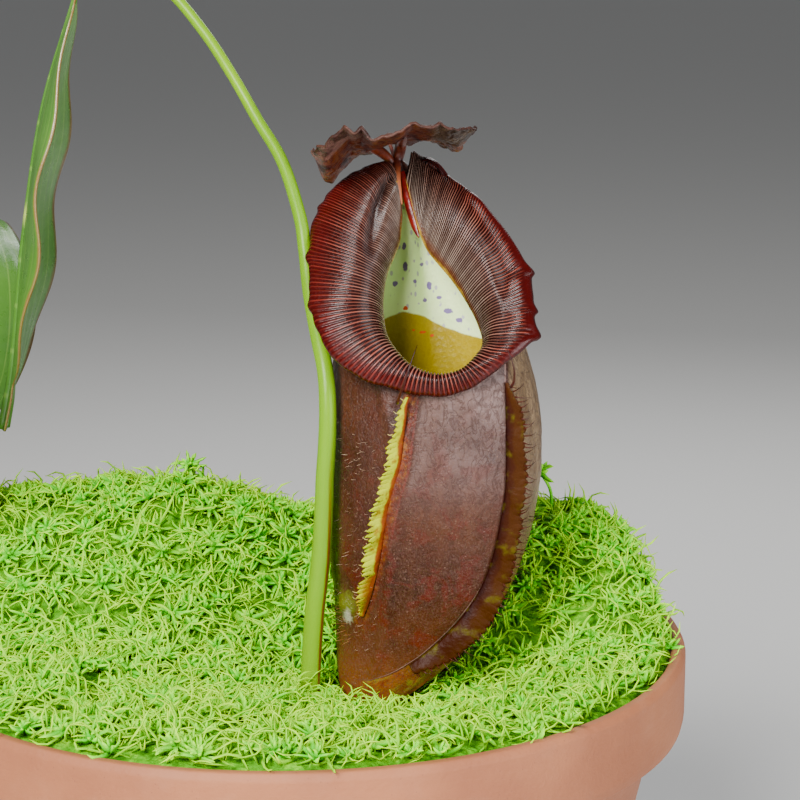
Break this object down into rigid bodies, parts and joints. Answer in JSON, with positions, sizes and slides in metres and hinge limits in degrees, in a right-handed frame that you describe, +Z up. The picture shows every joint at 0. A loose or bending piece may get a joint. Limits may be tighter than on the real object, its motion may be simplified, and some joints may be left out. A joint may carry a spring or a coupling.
{
  "type": "potted pitcher plant",
  "caption": "Carnivorous pitcher plant in a round pot of living moss, with one dark pitcher under a ribbed collar and a wavy lid on a long tendril.",
  "frame": {"origin": "centre of the underside of the pot", "axes": "+Z up, -Y towards the viewer of the picture and the pitcher's mouth, +X to the viewer's right"},
  "size_m": [0.3551, 0.2805, 0.3405],
  "materials": {
    "pot": "terracotta coloured plastic, fine matt grain",
    "growing_mix": "damp bark chips and perlite",
    "moss": "living sphagnum, soft and damp",
    "stem": "green bark with leaf scars",
    "leaf": "thick, slightly glossy leaf with a pale midrib",
    "young_leaf": "soft new leaf, slightly glossy",
    "tendril": "smooth yellow-green, red-brown on one side",
    "cup": "dark maroon, finely mottled, satin",
    "peristome": "glossy ribbed maroon",
    "wing": "thin fringed skin, orange to yellow-green",
    "lid": "crinkled, orange-brown below, pinkish grey above"
  },
  "bodies": {
    "root": {"pot": "pot", "growing_mix": "growing_mix", "moss_bed": "moss", "stem": "stem", "leaf_back": "leaf", "leaf_front": "leaf", "leaf_side": "leaf", "leaf_pitcher": "leaf", "leaf_young": "young_leaf", "tendril": "tendril", "pitcher_cup": "cup", "peristome": "peristome", "wing_left": "wing", "wing_right": "wing", "lid": "lid", "spur": "lid"}
  },
  "joints": []
}
